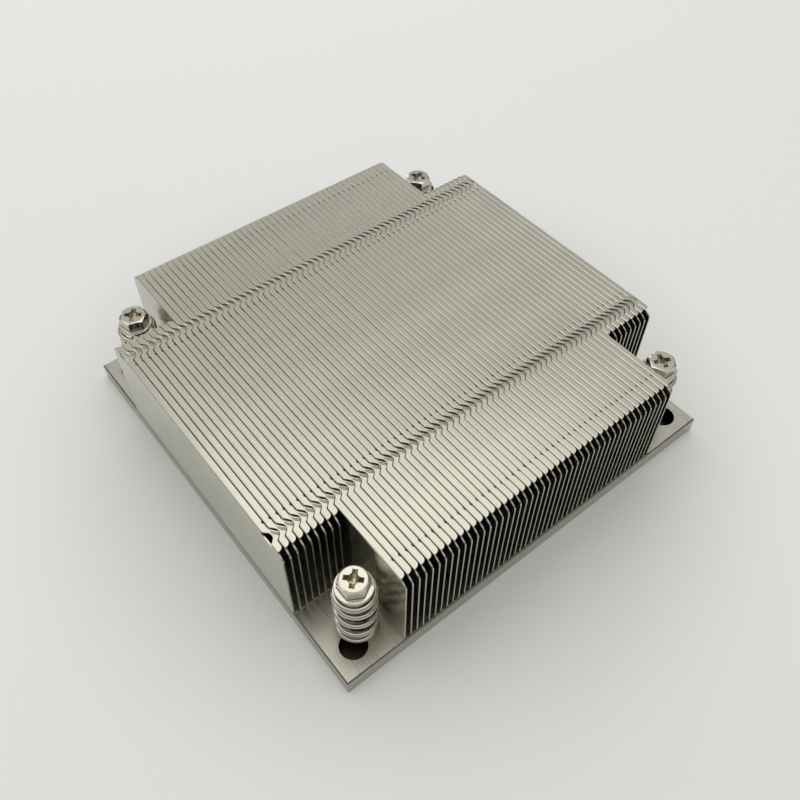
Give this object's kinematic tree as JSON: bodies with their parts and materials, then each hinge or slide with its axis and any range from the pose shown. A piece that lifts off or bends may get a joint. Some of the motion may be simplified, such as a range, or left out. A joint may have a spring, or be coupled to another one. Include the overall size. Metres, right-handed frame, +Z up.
{
  "type": "processor heat sink",
  "caption": "Low passive processor heat sink: square plate, locked stack of folded sheet fins in a plus-shaped plan, and captive spring screws at the corners.",
  "frame": {"origin": "centre of the plate's underside, the face that meets the processor", "axes": "+X across the fins, the way their flanges point; +Y along the fins and their air gaps, towards the back; +Z up from the plate"},
  "size_m": [0.0964, 0.0964, 0.0256],
  "materials": {
    "plate": "brushed nickel plating",
    "fins": "satin nickel plating",
    "screws": "bright nickel plating",
    "springs": "bright wire"
  },
  "bodies": {
    "heat_sink": {"base_plate": "plate", "long_fin_01": "fins", "long_fin_02": "fins", "long_fin_03": "fins", "long_fin_04": "fins", "long_fin_05": "fins", "long_fin_06": "fins", "long_fin_07": "fins", "long_fin_08": "fins", "long_fin_09": "fins", "long_fin_10": "fins", "long_fin_11": "fins", "long_fin_12": "fins", "long_fin_13": "fins", "long_fin_14": "fins", "long_fin_15": "fins", "long_fin_16": "fins", "long_fin_17": "fins", "long_fin_18": "fins", "long_fin_19": "fins", "long_fin_20": "fins", "long_fin_21": "fins", "long_fin_22": "fins", "long_fin_23": "fins", "long_fin_24": "fins", "long_fin_25": "fins", "long_fin_26": "fins", "long_fin_27": "fins", "long_fin_28": "fins", "long_fin_29": "fins", "long_fin_30": "fins", "long_fin_31": "fins", "long_fin_32": "fins", "long_fin_33": "fins", "long_fin_34": "fins", "long_fin_35": "fins", "long_fin_36": "fins", "long_fin_37": "fins", "long_fin_38": "fins", "long_fin_39": "fins", "long_fin_40": "fins", "long_fin_41": "fins", "long_fin_42": "fins", "long_fin_43": "fins", "long_fin_44": "fins", "long_fin_45": "fins", "long_fin_46": "fins", "long_fin_47": "fins", "short_fins_left": "fins", "short_fins_right": "fins"},
    "slider_front_left": {"spring_front_left": "springs"},
    "screw_front_left": {"screw_front_left": "screws"},
    "slider_front_right": {"spring_front_right": "springs"},
    "screw_front_right": {"screw_front_right": "screws"},
    "slider_back_left": {"spring_back_left": "springs"},
    "screw_back_left": {"screw_back_left": "screws"},
    "slider_back_right": {"spring_back_right": "springs"},
    "screw_back_right": {"screw_back_right": "screws"}
  },
  "joints": [
    {"name": "press_front_left", "type": "slide", "parent": "heat_sink", "child": "slider_front_left", "axis": [0, 0, -1], "range_m": [0, 0.005], "stiffness_N_per_m": 4000, "springref_m": -0.004, "deforming": ["spring_front_left"]},
    {"name": "turn_front_left", "type": "hinge", "parent": "slider_front_left", "child": "screw_front_left", "pos_m": [-0.04, -0.04, 0.022], "axis": [0, 0, 1], "continuous": true},
    {"name": "press_front_right", "type": "slide", "parent": "heat_sink", "child": "slider_front_right", "axis": [0, 0, -1], "range_m": [0, 0.005], "stiffness_N_per_m": 4000, "springref_m": -0.004, "deforming": ["spring_front_right"]},
    {"name": "turn_front_right", "type": "hinge", "parent": "slider_front_right", "child": "screw_front_right", "pos_m": [0.04, -0.04, 0.022], "axis": [0, 0, 1], "continuous": true},
    {"name": "press_back_left", "type": "slide", "parent": "heat_sink", "child": "slider_back_left", "axis": [0, 0, -1], "range_m": [0, 0.005], "stiffness_N_per_m": 4000, "springref_m": -0.004, "deforming": ["spring_back_left"]},
    {"name": "turn_back_left", "type": "hinge", "parent": "slider_back_left", "child": "screw_back_left", "pos_m": [-0.04, 0.04, 0.022], "axis": [0, 0, 1], "continuous": true},
    {"name": "press_back_right", "type": "slide", "parent": "heat_sink", "child": "slider_back_right", "axis": [0, 0, -1], "range_m": [0, 0.005], "stiffness_N_per_m": 4000, "springref_m": -0.004, "deforming": ["spring_back_right"]},
    {"name": "turn_back_right", "type": "hinge", "parent": "slider_back_right", "child": "screw_back_right", "pos_m": [0.04, 0.04, 0.022], "axis": [0, 0, 1], "continuous": true}
  ]
}
